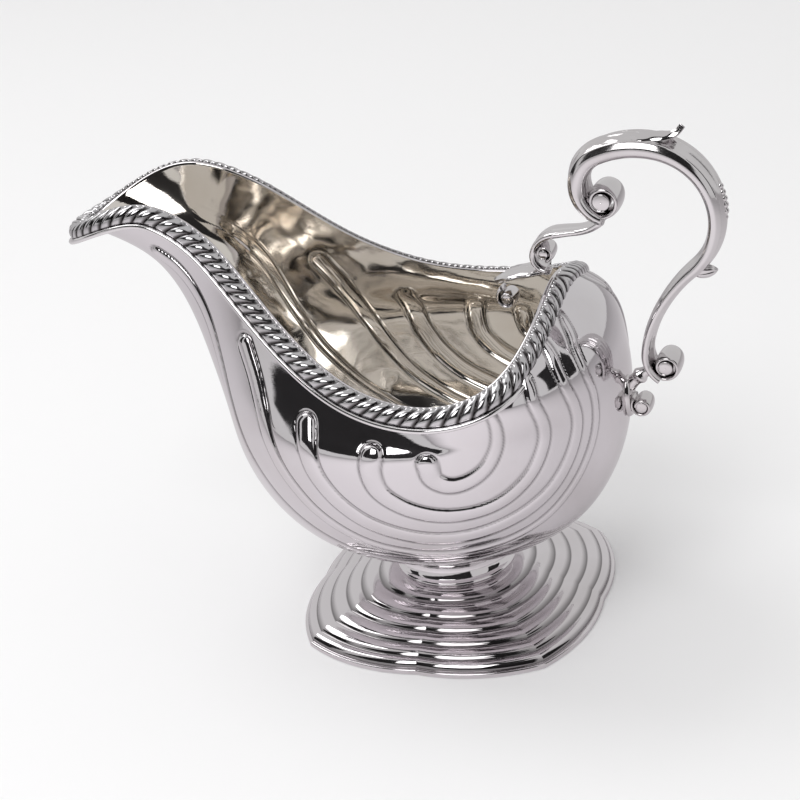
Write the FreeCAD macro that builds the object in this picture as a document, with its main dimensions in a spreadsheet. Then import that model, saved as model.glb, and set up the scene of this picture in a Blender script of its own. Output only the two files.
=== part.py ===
import FreeCAD, Part
import math
import os
import Sketcher

# A raised silver sauce boat. Millimetres, +Z up, +X towards the handle, the spout points to -X,
# and the origin is the centre of the foot on the surface that the boat stands on.
# "Left" is the -Y side, the left hand of a person who holds the handle and looks along the spout.

V = FreeCAD.Vector
Rotation = FreeCAD.Rotation
Placement = FreeCAD.Placement

DIMENSIONS = [
    ("FootCorner", 50.0, "centre to each of the foot's four corners"),
    ("FootDent", 44.0, "centre to the dent in the middle of each side of the foot"),
    ("FootLobeRadius", 50.0, "radius of the two lobes on each side of the foot"),
    ("EdgeThick", 1.6, "thickness of the flat edge strip under the foot"),
    ("EdgeWide", 3.4, "width of the flat edge strip"),
    ("DomeInset", 0.9, "how far the dome stands in from the edge strip"),
    ("DomeTop", 12.6, "height of the top of the dome"),
    ("DomeRibs", 6, "number of stepped ribs on the dome"),
    ("DomeWall", 1.2, "thickness of the dome"),
    ("ColletFoot", 17.6, "radius of the collet where it meets the dome"),
    ("ColletWaist", 15.6, "radius of the collet at its waist"),
    ("ColletHead", 17.2, "radius of the collet where it meets the bowl"),
    ("ColletWall", 1.6, "thickness of the collet"),
    ("BowlBase", 22.0, "height of the flat base of the bowl"),
    ("BowlFront", 61.3, "bowl's reach towards the spout at its widest level"),
    ("BowlBack", 56.3, "bowl's reach towards the handle at its widest level"),
    ("BowlHalfWide", 50.0, "half the bowl's width at its widest level"),
    ("BellyLevel", 71.0, "height of the bowl's widest level"),
    ("BowlWall", 1.1, "thickness of the bowl"),
    ("BorderWide", 5.2, "width of the gadrooned border"),
    ("BorderBulge", 1.9, "how far the gadrooned border stands out"),
    ("BorderLean", 45.0, "angle at which the border slopes down and out, degrees"),
    ("WireThick", 1.5, "diameter of the plain wire under the border"),
    ("StrapWide", 12.5, "width of the handle at its upper volute"),
    ("StrapThick", 4.8, "thickness of the handle at its upper volute"),
    ("StrapEndWide", 9.5, "width of the handle at its lower end"),
    ("StrapEndThick", 2.6, "thickness of the handle at its lower end"),
    ("ScrollWide", 7.0, "width of the flying scroll"),
    ("ScrollThick", 2.4, "thickness of the flying scroll"),
    ("UpperRoll", 3.9, "radius of the upper volute's roll"),
    ("UpperRollWide", 13.5, "length of the upper volute's roll"),
    ("CurlRoll", 2.3, "radius of the small curl's roll"),
    ("CurlRollWide", 8.0, "length of the small curl's roll"),
    ("LowerRoll", 2.9, "radius of the lower volute's roll"),
    ("LowerRollWide", 11.0, "length of the lower volute's roll"),
    ("InnerRoll", 2.6, "radius of the volute inside the bowl"),
    ("InnerRollWide", 6.5, "length of the volute inside the bowl"),
    ("StrutRoll", 3.0, "radius of the scroll under the strut"),
    ("StrutRollWide", 7.0, "length of the scroll under the strut"),
    ("CapWide", 10.0, "width of the leaf over the arch of the handle"),
    ("RimLeafWide", 9.0, "width of the leaf that lies over the rim"),
    ("StrutThick", 4.4, "diameter of the strut"),
    ("PlateHigh", 12.0, "height of the oval plate that carries the strut"),
    ("PlateWide", 8.0, "width of the oval plate"),
    ("PlateThick", 1.8, "thickness of the oval plate"),
    ("BudThick", 3.6, "diameter of the bud"),
    ("BudLong", 6.2, "length of the bud"),
    ("BeadThick", 2.4, "diameter of the largest bead on the handle"),
]

doc = FreeCAD.newDocument("SauceBoat")
sheet = doc.addObject("Spreadsheet::Sheet", "Sheet")
parts = []


def fill_sheet():
    for row, (alias, value, meaning) in enumerate(DIMENSIONS, start=1):
        sheet.set("A%d" % row, meaning)
        sheet.set("B%d" % row, str(value))
        sheet.setAlias("B%d" % row, alias)
    doc.recompute()


def size(alias):
    return float(sheet.get(alias))


def keep(thing, label):
    thing.Label = label
    parts.append(thing)
    return thing


def new_body(label):
    return keep(doc.addObject("PartDesign::Body", "Body_" + label), label)


def origin_plane(body, role):
    return next(item for item in body.Origin.OriginFeatures if item.Role == role)


def new_sketch(body, name, role, offset=None):
    """A sketch on one of the body's own origin planes, moved by an attachment offset."""
    sketch = body.newObject("Sketcher::SketchObject", body.Label + "_" + name)
    sketch.AttachmentSupport = [(origin_plane(body, role), "")]
    sketch.MapMode = "FlatFace"
    if offset is not None:
        sketch.AttachmentOffset = offset
    return sketch


def bind(sketch, constraint, name, formula):
    """Add a constraint and drive its value from the spreadsheet."""
    index = sketch.addConstraint(constraint)
    sketch.renameConstraint(index, name)
    sketch.setExpression("Constraints." + name, formula)


def weld(sketch, edges):
    """Join the edges' ends wherever they meet."""
    ends = [(edge, end, sketch.getPoint(edge, end)) for edge in edges for end in (1, 2)]
    for index, (edge, end, place) in enumerate(ends):
        for other, other_end, other_place in ends[index + 1:]:
            if other != edge and place.distanceToPoint(other_place) < 1e-4:
                sketch.addConstraint(Sketcher.Constraint("Coincident", edge, end, other, other_end))


def pin(sketch, edge, end, name, across, up):
    """Place an end of a straight edge with two formulas measured from the sketch's origin."""
    place = sketch.getPoint(edge, end)
    bind(sketch, Sketcher.Constraint("DistanceX", -1, 1, edge, end, place.x), name + "X", across)
    bind(sketch, Sketcher.Constraint("DistanceY", -1, 1, edge, end, place.y), name + "Z", up)


def section_placement(point, along):
    """Placement for a sketch that starts on the XY plane and must cut a path in the XZ plane.

    The sketch's X axis becomes the part's Y axis and its normal follows the path.
    """
    along = V(along).normalize()
    side = V(0, 1, 0)
    up = along.cross(side)
    return Placement(point, Rotation(side, up, along, "ZXY"))


# ---------------------------------------------------------------- foot


def foot_outline(sketch, corner, dent, radius):
    """Four corners joined by two lobes a side, with a shallow dent between the lobes."""
    step = math.radians(45)
    knots = []
    for index in range(8):
        reach = dent if index % 2 == 0 else corner
        knots.append(V(reach * math.cos(index * step), reach * math.sin(index * step), 0))
    edges = []
    for index in range(8):
        start = knots[index]
        end = knots[(index + 1) % 8]
        chord = end - start
        half = chord.Length / 2
        middle = (start + end) / 2
        outward = V(chord.y, -chord.x, 0).normalize()
        centre = middle - outward * math.sqrt(radius ** 2 - half ** 2)
        from_angle = math.atan2(start.y - centre.y, start.x - centre.x)
        to_angle = math.atan2(end.y - centre.y, end.x - centre.x)
        circle = Part.Circle(centre, V(0, 0, 1), radius)
        edges.append(sketch.addGeometry(Part.ArcOfCircle(circle, from_angle, to_angle)))
    for index in range(8):
        sketch.addConstraint(Sketcher.Constraint("Coincident", edges[index], 2, edges[(index + 1) % 8], 1))
    return edges


def outline_numbers(share):
    """Corner, dent and lobe radius for a ring of the foot, from the edge (1) to the neck (0)."""
    neck = size("ColletFoot")
    inset = size("DomeInset")
    corner = neck + (size("FootCorner") - inset - neck) * share
    dent = neck + (size("FootDent") - inset - neck) * share
    radius = neck + (size("FootLobeRadius") - neck) * share
    return corner, dent, max(radius, dent)


def make_foot_edge_strip():
    body = new_body("foot_edge_strip")
    sketch = new_sketch(body, "Outline", "XY_Plane")
    outer = foot_outline(sketch, size("FootCorner"), size("FootDent"), size("FootLobeRadius"))
    wide = size("EdgeWide")
    foot_outline(sketch, size("FootCorner") - wide * 1.1, size("FootDent") - wide, size("FootLobeRadius"))
    lobe = Sketcher.Constraint("Radius", outer[0], size("FootLobeRadius"))
    bind(sketch, lobe, "Lobe", "Sheet.FootLobeRadius")
    dent = Sketcher.Constraint("DistanceX", -1, 1, outer[0], 1, size("FootDent"))
    bind(sketch, dent, "Dent", "Sheet.FootDent")
    sketch.addConstraint(Sketcher.Constraint("PointOnObject", outer[0], 1, -1))
    pad = body.newObject("PartDesign::Pad", "EdgePad")
    pad.Profile = sketch
    pad.setExpression("Length", "Sheet.EdgeThick")


# The dome starts with a small step, a share of its rise; each rib then runs in nearly level
# for most of its width, a share of its way in and up, and climbs over the rest.
RIB_START = 0.06
RIB_TREAD = (0.72, 0.35)

# Rings of the hollow under the dome: share of the way out, share of the dome's rise, and how many
# wall thicknesses it stands in from the outside there.
HOLLOW_RINGS = ((1.0, 0.0, 1.6), (0.5, 0.39, 2.4), (0.0, 0.964, 1.6), (0.0, 1.0, 1.6))


def make_foot_dome():
    body = new_body("foot_dome")
    base = size("EdgeThick")
    top = size("DomeTop")
    ribs = int(size("DomeRibs"))
    steps = [(1.0, 0.0), (1.0, RIB_START)]
    for rib in range(ribs):
        for way_in, way_up in (RIB_TREAD, (1.0, 1.0)):
            steps.append((1 - (rib + way_in) / ribs, RIB_START + (1 - RIB_START) * (rib + way_up) / ribs))
    sketches = []
    for index, (share, rise) in enumerate(steps):
        level = base + (top - base) * rise
        sketch = new_sketch(body, "Ring%d" % index, "XY_Plane", Placement(V(0, 0, level), Rotation()))
        sketch.setExpression("AttachmentOffset.Base.z",
                             "Sheet.EdgeThick + (Sheet.DomeTop - Sheet.EdgeThick) * %.4f" % rise)
        foot_outline(sketch, *outline_numbers(share))
        sketches.append(sketch)
    doc.recompute()
    loft = body.newObject("PartDesign::AdditiveLoft", "DomeSkin")
    loft.Profile = sketches[0]
    loft.Sections = sketches[1:]
    loft.Ruled = True
    doc.recompute()
    wall = size("DomeWall")
    hollow = []
    for index, (share, rise, walls) in enumerate(HOLLOW_RINGS):
        level = base + (top - base) * rise
        sketch = new_sketch(body, "Hollow%d" % index, "XY_Plane", Placement(V(0, 0, level), Rotation()))
        corner, dent, radius = outline_numbers(share)
        inset = wall * walls
        foot_outline(sketch, corner - inset, dent - inset, max(radius, dent) - inset)
        hollow.append(sketch)
    doc.recompute()
    cut = body.newObject("PartDesign::SubtractiveLoft", "DomeHollow")
    cut.Profile = hollow[0]
    cut.Sections = hollow[1:]
    cut.Ruled = True


def make_foot_collet():
    """A turned spool between the dome and the bowl, hollow like the pieces above and below it."""
    body = new_body("foot_collet")
    sketch = new_sketch(body, "Profile", "XZ_Plane")
    low = size("DomeTop")
    high = size("BowlBase")
    wall = size("ColletWall")
    middle = (low + high) / 2
    foot = size("ColletFoot")
    waist = size("ColletWaist")
    head = size("ColletHead")
    corners = [V(foot, low, 0), V(head, high, 0), V(head - wall, high, 0), V(foot - wall, low, 0)]
    outer = sketch.addGeometry(Part.Arc(corners[0], V(waist, middle, 0), corners[1]))
    top = sketch.addGeometry(Part.LineSegment(corners[1], corners[2]))
    inner = sketch.addGeometry(Part.Arc(corners[2], V(waist - wall, middle, 0), corners[3]))
    bottom = sketch.addGeometry(Part.LineSegment(corners[3], corners[0]))
    weld(sketch, (outer, top, inner, bottom))
    pin(sketch, bottom, 2, "Foot", "Sheet.ColletFoot", "Sheet.DomeTop")
    pin(sketch, bottom, 1, "FootBore", "Sheet.ColletFoot - Sheet.ColletWall", "Sheet.DomeTop")
    pin(sketch, top, 1, "Head", "Sheet.ColletHead", "Sheet.BowlBase")
    pin(sketch, top, 2, "HeadBore", "Sheet.ColletHead - Sheet.ColletWall", "Sheet.BowlBase")
    turn = body.newObject("PartDesign::Revolution", "ColletTurn")
    turn.Profile = sketch
    turn.ReferenceAxis = (sketch, ["V_Axis"])
    turn.Angle = 360.0


# ---------------------------------------------------------------- bowl and rim

# Where the meridians of half the bowl cross its level rings, in degrees from the spout's keel.
MERIDIANS = (0, 14, 26, 38, 52, 66, 84, 108, 136, 160, 180)

# The inner edge of the rim on the same meridians, from the spout's tip to the back:
# reach along X, half-width, height.
RIM = ((-101.0, 0.0, 118.5), (-95.5, 12.0, 122.3), (-84.5, 17.4, 128.0), (-70.0, 17.6, 130.2),
       (-52.0, 21.0, 121.3), (-32.0, 30.4, 101.8), (-10.0, 40.6, 88.3), (13.6, 45.7, 85.2),
       (30.5, 40.0, 89.6), (37.0, 23.0, 97.5), (38.0, 0.0, 104.0))

# How the wall between the widest level and the rim swells (+) or sinks (-) on each meridian,
# along X, sideways and upwards: hollow under the spout, full under the handle.
SWELL = ((11.5, 0.0, 4.8), (9.0, -2.0, 4.0), (5.0, -4.0, 2.0), (2.0, -3.5, 0.0), (0.5, -2.0, 0.0),
         (0.0, -1.5, 0.0), (0.0, -1.0, 0.0), (0.5, -0.5, 0.0), (2.5, 2.0, 0.8), (5.0, 2.0, 1.2),
         (6.0, 0.0, 1.2))

# Level rings of the lower bowl as shares of its widest reach and of its height up to that level.
LOWER_RINGS = ((0.30, 0.0), (0.53, 0.07), (0.755, 0.225), (0.90, 0.47), (0.975, 0.735), (1.0, 1.0))
UPPER_STEPS = (0.25, 0.5, 0.75, 1.0)


def lower_ring(share, rise, inward):
    """Half of one level ring, from the keel round the +Y side to the back."""
    base = size("BowlBase")
    level = base + (size("BellyLevel") - base) * rise
    front = size("BowlFront") * share - inward
    back = size("BowlBack") * share - inward
    wide = size("BowlHalfWide") * share - inward
    if rise == 0:
        front = back = wide = size("ColletHead") - inward
        level += inward
    elif rise < 0.3:
        level += inward * 0.8
    points = []
    for degrees in MERIDIANS:
        angle = math.radians(degrees)
        reach = -front if degrees < 90 else back
        points.append(V(reach * abs(math.cos(angle)), wide * math.sin(angle), level))
    return points


def rim_points(inward):
    """The rim's edge on each meridian, moved in square to the edge as seen from above."""
    points = []
    for index, (x, y, z) in enumerate(RIM):
        before = V(RIM[1][0], -RIM[1][1], 0) if index == 0 else V(*RIM[index - 1][:2], 0)
        after = V(RIM[-2][0], -RIM[-2][1], 0) if index == len(RIM) - 1 else V(*RIM[index + 1][:2], 0)
        run = (after - before).normalize()
        outward = V(-run.y, run.x, 0)
        points.append(V(x, y, z) - outward * inward)
    return points


def bowl_rings(inward):
    """All rings of one face of the bowl, each a list of points for its +Y half."""
    rings = [lower_ring(share, rise, inward) for share, rise in LOWER_RINGS]
    belly = rings[-1]
    rim = rim_points(inward)
    for step in UPPER_STEPS:
        weight = 4 * step * (1 - step) * (0.5 + step)
        rings.append([low * (1 - step) + high * step + V(*swell) * weight
                      for low, high, swell in zip(belly, rim, SWELL)])
    return rings


def between(rows, where):
    """A point on the smooth curve through a list of points, at a fractional index."""
    index = min(int(where), len(rows) - 2)
    part = where - index
    second = rows[index]
    third = rows[index + 1]
    first = rows[index - 1] if index > 0 else second * 2 - third
    fourth = rows[index + 2] if index + 2 < len(rows) else third * 2 - second
    return (second * 2 + (third - first) * part + (first * 2 - second * 5 + third * 4 - fourth) * part ** 2
            + (second * 3 - first - third * 3 + fourth) * part ** 3) * 0.5


def mirrored(point):
    return V(point.x, -point.y, point.z)


def full_ring(half):
    """Half a ring refined to twice as many points and closed with its mirror image."""
    extended = [mirrored(half[1])] + half + [mirrored(half[-2])]
    fine = [between(extended, 1 + index / 2) for index in range(2 * len(half) - 1)]
    return fine + [mirrored(point) for point in reversed(fine[1:-1])]


def closed_curve(ring):
    count = len(ring)
    curve = Part.BSplineCurve()
    curve.buildFromPolesMultsKnots(ring, [1] * (count + 1), [float(i) for i in range(count + 1)], True, 3)
    return curve


def bowl_face(inward):
    """One face of the bowl's wall: a smooth surface that closes on itself round the bowl."""
    rings = [full_ring(half) for half in bowl_rings(inward)]
    count = len(rings[0])
    levels = 2 * len(rings) - 1
    grid = []
    for meridian in zip(*rings):
        grid.append([between(meridian, level / 2) for level in range(levels)])
    around = [float(i) for i in range(count + 1)]
    upward = [float(i) for i in range(levels - 2)]
    repeats_around = [1] * (count + 1)
    repeats_upward = [4] + [1] * (levels - 4) + [4]
    surface = Part.BSplineSurface()
    surface.buildFromPolesMultsKnots(grid, repeats_around, repeats_upward, around, upward, True, False, 3, 3)
    return surface.toShape()


def rim_curve(inward):
    return closed_curve(full_ring(rim_points(inward)))


def make_bowl():
    wall = size("BowlWall")
    outer = bowl_face(0.0)
    inner = bowl_face(wall)
    base_outer = closed_curve(full_ring(bowl_rings(0.0)[0])).toShape()
    base_inner = closed_curve(full_ring(bowl_rings(wall)[0])).toShape()
    rim_outer = rim_curve(0.0).toShape()
    rim_inner = rim_curve(wall).toShape()
    faces = [outer, inner, Part.Face(Part.Wire([base_outer])), Part.Face(Part.Wire([base_inner])),
             Part.makeRuledSurface(rim_outer, rim_inner)]
    shell = Part.makeShell(faces)
    shell.sewShape()
    solid = Part.Solid(shell)
    if solid.Volume < 0:
        solid.reverse()
    bowl = doc.addObject("Part::Feature", "Bowl")
    bowl.Shape = solid
    bowl.Placement = Placement()
    keep(bowl, "bowl")


def rim_stations(side, count):
    """Points along half the rim with the directions across it: outwards and upwards."""
    curve = rim_curve(0.0)
    start = curve.parameter(V(*RIM[0]))
    end = curve.parameter(V(*RIM[-1]))
    if start > end:
        start -= curve.LastParameter - curve.FirstParameter
    stations = []
    for index in range(count + 1):
        where = start + (end - start) * index / count
        point = curve.value(where)
        along = curve.tangent(where)[0]
        if index in (0, count):
            point.y = 0
            along = V(0, 1 if index == 0 else -1, 0)
        outward = V(-along.y, along.x, 0).normalize()
        upward = along.cross(outward)
        if upward.z < 0:
            upward = -upward
        if side < 0:
            point.y = -point.y
            outward.y = -outward.y
            upward.y = -upward.y
        stations.append((point, outward, upward))
    return stations


def border_section(station):
    """A half-round section that slopes down and out from the rim's edge."""
    point, outward, upward = station
    lean = math.radians(size("BorderLean"))
    down = outward * math.cos(lean) - upward * math.sin(lean)
    out = outward * math.sin(lean) + upward * math.cos(lean)
    wide = size("BorderWide")
    first = point + out * 0.2
    last = first + down * wide
    crown = first + down * (wide / 2) + out * size("BorderBulge")
    return Part.Wire([Part.Arc(first, crown, last).toShape(), Part.makeLine(last, first)])


def wire_section(station):
    """The round section of the plain wire along the border's lower edge."""
    point, outward, upward = station
    lean = math.radians(size("BorderLean"))
    down = outward * math.cos(lean) - upward * math.sin(lean)
    radius = size("WireThick") / 2
    centre = point + down * (size("BorderWide") + radius * 0.95)
    return Part.Wire([Part.makeCircle(radius, centre, outward.cross(upward))])


def make_rim_strip(label, section, side):
    sections = [section(station) for station in rim_stations(side, 22)]
    solid = Part.makeLoft(sections, True, False)
    if solid.Volume < 0:
        solid.reverse()
    strip = doc.addObject("Part::Feature", "Strip_" + label)
    strip.Shape = solid
    strip.Placement = Placement()
    keep(strip, label)


# ---------------------------------------------------------------- handle


def in_plane(points):
    return [V(x, 0, z) for x, z in points]


def tangent_arcs(points, heading):
    """Arcs through the points, each starting the way the last one ended.

    Each arc is given by its start, middle and end; the directions at all the points come with them.
    """
    arcs = []
    ways = [V(heading).normalize()]
    for start, end in zip(points[:-1], points[1:]):
        chord = (end - start).normalize()
        half_turn = ways[-1].getAngle(chord)
        bisector = (ways[-1] + chord).normalize()
        reach = start.distanceToPoint(end) / 2 / math.cos(half_turn / 2)
        arcs.append((start, start + bisector * reach, end))
        ways.append(chord * (2 * ways[-1].dot(chord)) - ways[-1])
    return arcs, ways


def strap_section(body, name, point, along, wide, thick):
    """An oval section across a path in the XZ plane; both of its sizes are names in the sheet."""
    sketch = new_sketch(body, name, "XY_Plane", section_placement(point, along))
    long_half = size(wide) / 2
    short_half = size(thick) / 2
    oval = sketch.addGeometry(Part.Ellipse(V(long_half, 0, 0), V(0, short_half, 0), V(0, 0, 0)))
    sketch.exposeInternalGeometry(oval)
    sketch.addConstraint(Sketcher.Constraint("Coincident", oval, 3, -1, 1))
    sketch.addConstraint(Sketcher.Constraint("PointOnObject", oval + 1, 1, -1))
    bind(sketch, Sketcher.Constraint("Distance", oval + 1, 2 * long_half), "Wide", "Sheet." + wide)
    bind(sketch, Sketcher.Constraint("Distance", oval + 2, 2 * short_half), "Thick", "Sheet." + thick)
    return sketch


def sweep_strap(label, points, heading, start, end):
    """A strap swept along tangent arcs, tapering from its start section to its end section."""
    body = new_body(label)
    arcs, ways = tangent_arcs(in_plane(points), in_plane([heading])[0])
    spine = new_sketch(body, "Path", "XZ_Plane")
    for first, middle, last in arcs:
        spine.addGeometry(Part.Arc(V(first.x, first.z, 0), V(middle.x, middle.z, 0), V(last.x, last.z, 0)))
    head = strap_section(body, "Start", arcs[0][0], ways[0], *start)
    tail = strap_section(body, "End", arcs[-1][2], ways[-1], *end)
    doc.recompute()
    pipe = body.newObject("PartDesign::AdditivePipe", label + "_Sweep")
    pipe.Profile = head
    pipe.Spine = (spine, ["Edge%d" % (index + 1) for index in range(len(arcs))])
    pipe.Sections = [tail]
    pipe.Transformation = "Multisection"
    return body


# The handle's paths in the boat's middle plane: reach along X, height.
MAIN_PATH = ((53.2, 121.6), (46.9, 130.0), (52.5, 139.0), (67.5, 140.4), (82.2, 125.5), (76.0, 107.0),
             (66.2, 95.0), (62.2, 83.0), (65.6, 75.2))
FLYING_PATH = ((52.4, 120.4), (45.0, 117.2), (39.5, 116.6), (33.2, 111.6), (36.3, 106.2))
STRUT_PATH = ((63.2, 76.6), (60.0, 75.2), (56.4, 72.0))
UPPER_ROLL_AT = (53.2, 127.4)
CURL_ROLL_AT = (36.2, 111.4)
LOWER_ROLL_AT = (67.4, 79.4)
INNER_ROLL_AT = (24.6, 97.6)
STRUT_ROLL_AT = (59.8, 66.4)
PLATE_AT = (55.4, 68.4)
BUD_AT = (79.0, 106.0)

# Side outlines of the two leaves, as arcs from point to point through a middle point.
CAP_OUTLINE = (((44.9, 130.5), (46.6, 136.4), (51.8, 140.9)), ((51.8, 140.9), (59.9, 142.9), (68.0, 142.4)),
               ((68.0, 142.4), (72.3, 143.0), (75.4, 146.0)), ((75.4, 146.0), (66.0, 145.0), (56.0, 144.1)),
               ((56.0, 144.1), (48.3, 139.6), (44.9, 130.5)))
RIM_LEAF_OUTLINE = (((37.0, 104.3), (29.0, 103.1), (21.8, 101.2)),
                    ((21.8, 101.2), (28.5, 105.5), (37.0, 106.5)),
                    ((37.0, 106.5), (37.7, 105.4), (37.0, 104.3)))

# The beads sit on an arc round the outermost part of the handle: centre, radius, first and last angle.
BEAD_ARC = ((66.5, 124.0), 17.4, 18.0, -26.0)
BEAD_COUNT = 9


def make_roll(label, at, radius, wide, waist):
    """A volute's roll: a barrel turned about an axis across the boat."""
    body = new_body(label)
    sketch = new_sketch(body, "Profile", "XY_Plane", Placement(V(at[0], 0, at[1]), Rotation()))
    full = size(radius)
    half = size(wide) / 2
    ends = full * waist
    rim = sketch.addGeometry(Part.Arc(V(ends, -half, 0), V(full, 0, 0), V(ends, half, 0)))
    top = sketch.addGeometry(Part.LineSegment(V(ends, half, 0), V(0, half, 0)))
    axis = sketch.addGeometry(Part.LineSegment(V(0, half, 0), V(0, -half, 0)))
    bottom = sketch.addGeometry(Part.LineSegment(V(0, -half, 0), V(ends, -half, 0)))
    weld(sketch, (rim, top, axis, bottom))
    pin(sketch, top, 1, "Far", "Sheet.%s * %.3f" % (radius, waist), "Sheet.%s / 2" % wide)
    pin(sketch, bottom, 2, "Near", "Sheet.%s * %.3f" % (radius, waist), "-Sheet.%s / 2" % wide)
    turn = body.newObject("PartDesign::Revolution", label + "_Turn")
    turn.Profile = sketch
    turn.ReferenceAxis = (sketch, ["V_Axis"])
    turn.Angle = 360.0


def make_side_profile(label, outline, wide, rounding):
    """A piece with a curved side outline and an even width; its outline's edges may be rounded."""
    body = new_body(label)
    sketch = new_sketch(body, "Outline", "XZ_Plane")
    edges = []
    for first, middle, last in outline:
        arc = Part.Arc(V(first[0], first[1], 0), V(middle[0], middle[1], 0), V(last[0], last[1], 0))
        edges.append(sketch.addGeometry(arc))
    weld(sketch, edges)
    pad = body.newObject("PartDesign::Pad", label + "_Pad")
    pad.Profile = sketch
    pad.Midplane = True
    pad.setExpression("Length", "Sheet." + wide)
    if rounding == 0:
        return
    doc.recompute()
    across = ["Edge%d" % (index + 1) for index, edge in enumerate(pad.Shape.Edges)
              if abs(edge.Vertexes[0].Y - edge.Vertexes[-1].Y) < 1e-6]
    soft = body.newObject("PartDesign::Fillet", label + "_Soft")
    soft.Base = (pad, across)
    soft.Radius = rounding


def make_bud():
    """A small egg-shaped bud that grows from the back of the handle."""
    bud = doc.addObject("Part::Ellipsoid", "BudEgg")
    bud.setExpression("Radius1", "Sheet.BudLong / 2")
    bud.setExpression("Radius2", "Sheet.BudThick / 2")
    bud.setExpression("Radius3", "Sheet.BudThick / 2")
    bud.Placement = Placement(V(BUD_AT[0], 0, BUD_AT[1]), Rotation(V(0, 1, 0), 82))
    keep(bud, "handle_bud")


def make_bead_row():
    """Graduated beads soldered in a row down the back of the handle, each running into the next."""
    centre, radius, first, last = BEAD_ARC
    steps = (BEAD_COUNT - 1) / 2
    beads = []
    for index in range(BEAD_COUNT):
        share = 1 - 0.25 * abs(index - steps) / steps
        angle = math.radians(first + (last - first) * index / (BEAD_COUNT - 1))
        place = V(centre[0] + radius * math.cos(angle), 0, centre[1] + radius * math.sin(angle))
        bead = doc.addObject("Part::Sphere", "Bead%d" % index)
        bead.setExpression("Radius", "Sheet.BeadThick / 2 * %.3f" % share)
        bead.Placement = Placement(place, Rotation())
        beads.append(bead)
    row = doc.addObject("Part::MultiFuse", "BeadRow")
    row.Shapes = beads
    keep(row, "handle_bead_row")


def make_back_plate():
    """The oval plate on the bowl's wall that carries the strut."""
    body = new_body("handle_back_plate")
    sketch = new_sketch(body, "Oval", "YZ_Plane", Placement(V(0, PLATE_AT[1], PLATE_AT[0]), Rotation()))
    high = size("PlateHigh") / 2
    wide = size("PlateWide") / 2
    oval = sketch.addGeometry(Part.Ellipse(V(0, high, 0), V(wide, 0, 0), V(0, 0, 0)))
    sketch.exposeInternalGeometry(oval)
    sketch.addConstraint(Sketcher.Constraint("Coincident", oval, 3, -1, 1))
    sketch.addConstraint(Sketcher.Constraint("PointOnObject", oval + 1, 1, -2))
    bind(sketch, Sketcher.Constraint("Distance", oval + 1, 2 * high), "High", "Sheet.PlateHigh")
    bind(sketch, Sketcher.Constraint("Distance", oval + 2, 2 * wide), "Wide", "Sheet.PlateWide")
    pad = body.newObject("PartDesign::Pad", "PlatePad")
    pad.Profile = sketch
    pad.setExpression("Length", "Sheet.PlateThick")


def make_handle():
    sweep_strap("handle_main_scroll", MAIN_PATH, (-1.0, 0.35), ("StrapWide", "StrapThick"),
                ("StrapEndWide", "StrapEndThick"))
    sweep_strap("handle_flying_scroll", FLYING_PATH, (-0.6, -0.55), ("ScrollWide", "ScrollThick"),
                ("ScrollWide", "ScrollThick"))
    sweep_strap("handle_strut", STRUT_PATH, (-1.0, -0.1), ("StrutThick", "StrutThick"),
                ("StrutThick", "StrutThick"))
    make_roll("handle_upper_volute", UPPER_ROLL_AT, "UpperRoll", "UpperRollWide", 0.8)
    make_roll("handle_small_curl", CURL_ROLL_AT, "CurlRoll", "CurlRollWide", 0.8)
    make_roll("handle_lower_volute", LOWER_ROLL_AT, "LowerRoll", "LowerRollWide", 0.8)
    make_roll("handle_inner_volute", INNER_ROLL_AT, "InnerRoll", "InnerRollWide", 0.8)
    make_roll("handle_strut_scroll", STRUT_ROLL_AT, "StrutRoll", "StrutRollWide", 0.75)
    make_side_profile("handle_leaf_cap", CAP_OUTLINE, "CapWide", 0)
    make_side_profile("handle_rim_leaf", RIM_LEAF_OUTLINE, "RimLeafWide", 0.6)
    make_bud()
    make_bead_row()
    make_back_plate()


def make_foot():
    make_foot_edge_strip()
    make_foot_dome()
    make_foot_collet()


def make_rim():
    for side, name in ((-1, "left"), (1, "right")):
        make_rim_strip("rim_gadroon_" + name, border_section, side)
        make_rim_strip("rim_wire_" + name, wire_section, side)


def check_document():
    for thing in doc.Objects:
        if "Invalid" in thing.State or "Error" in thing.State:
            raise RuntimeError("%s failed: %s" % (thing.Label, thing.State))
    for part in parts:
        shape = part.Shape
        if shape.isNull() or not shape.isValid() or len(shape.Solids) != 1:
            raise RuntimeError("%s has no single valid solid" % part.Label)


def write_parts():
    os.makedirs("parts", exist_ok=True)
    for part in parts:
        part.Shape.exportStep(os.path.join("parts", part.Label + ".step"))


fill_sheet()
make_foot()
make_bowl()
make_rim()
make_handle()
doc.recompute()
check_document()
write_parts()
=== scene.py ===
import math

import bpy
import numpy as np
from mathutils import Matrix, Vector


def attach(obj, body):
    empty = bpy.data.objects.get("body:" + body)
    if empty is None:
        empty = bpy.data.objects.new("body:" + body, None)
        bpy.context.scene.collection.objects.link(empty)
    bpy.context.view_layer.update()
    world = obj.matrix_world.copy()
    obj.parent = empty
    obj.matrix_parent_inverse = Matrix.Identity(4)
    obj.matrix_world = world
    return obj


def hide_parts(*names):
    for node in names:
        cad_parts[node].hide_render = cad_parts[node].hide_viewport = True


# A silver sauce boat. Shapes are worked out in millimetres in the part's own frame (+Z up, +X towards
# the handle, -Y the left side) and scaled to metres when a mesh is made.

MM = 0.001
BODY = "root"

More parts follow.
